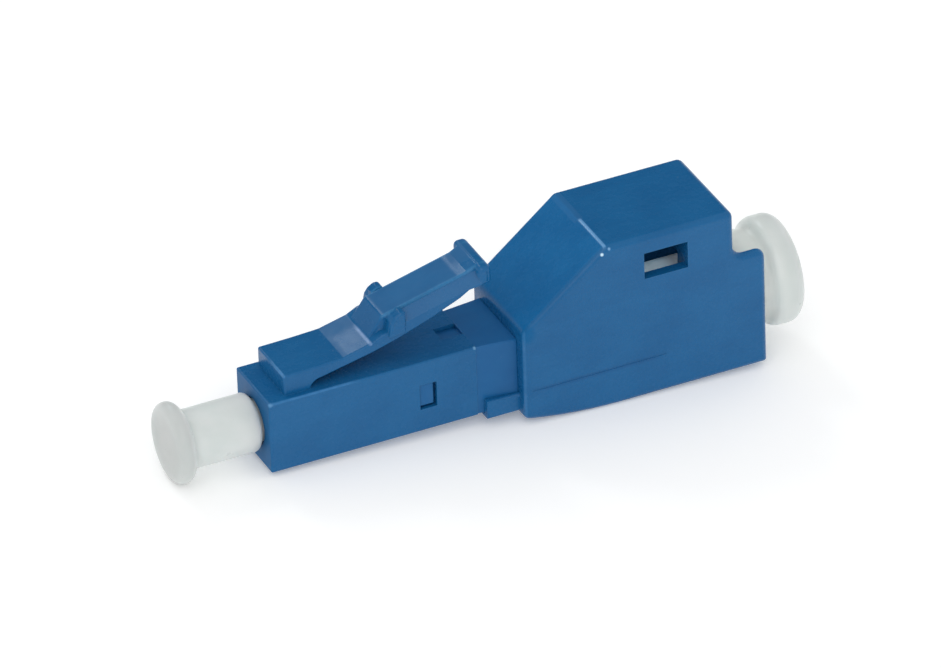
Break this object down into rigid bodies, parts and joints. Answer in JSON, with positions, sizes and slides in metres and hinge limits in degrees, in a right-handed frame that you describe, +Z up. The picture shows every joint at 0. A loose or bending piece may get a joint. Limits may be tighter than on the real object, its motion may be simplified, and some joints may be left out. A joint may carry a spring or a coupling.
{
  "type": "fibre optic attenuator",
  "caption": "Plug-in fibre optic attenuator with a latched plug nose, a wedge-fronted receptacle housing and pull-off dust caps.",
  "frame": {"origin": "centre of the plug's front face, on the optical axis", "axes": "+X along the optical axis from the plug towards the port, +Z up towards the latch, +Y completes the right-handed frame"},
  "size_m": [0.0382, 0.0068, 0.0105],
  "materials": {
    "blue_shell": "satin moulded",
    "blue_core": "satin moulded",
    "zirconia": "ground",
    "doped_glass": "polished end",
    "steel": "turned",
    "white_cap": "soft, slightly translucent"
  },
  "bodies": {
    "shell": {"rear_housing": "blue_shell", "inner_body": "blue_core", "plug_housing": "blue_shell", "sleeve_holder": "blue_core", "split_sleeve": "zirconia", "ferrule_spring": "steel"},
    "latch": {"latch_arm": "blue_shell"},
    "ferrule_group": {"ferrule": "zirconia", "attenuating_fibre": "doped_glass", "ferrule_flange": "steel"},
    "front_cap": {"front_dust_cap": "white_cap"},
    "rear_plug": {"rear_dust_plug": "white_cap"}
  },
  "joints": [
    {"name": "latch_press", "type": "hinge", "parent": "shell", "child": "latch", "pos_m": [0.0032, 0, 0.00272], "axis": [0, 1, 0], "range_deg": [0, 15], "stiffness_Nm_per_rad": 0.1},
    {"name": "ferrule_float", "type": "slide", "parent": "shell", "child": "ferrule_group", "axis": [1, 0, 0], "range_m": [0, 0.0008], "stiffness_N_per_m": 2000, "springref_m": -0.002, "deforming": ["ferrule_spring"]},
    {"name": "front_cap_pull", "type": "slide", "parent": "shell", "child": "front_cap", "axis": [-1, 0, 0], "range_m": [0, 0.01]},
    {"name": "rear_plug_pull", "type": "slide", "parent": "shell", "child": "rear_plug", "axis": [1, 0, 0], "range_m": [0, 0.011]}
  ]
}
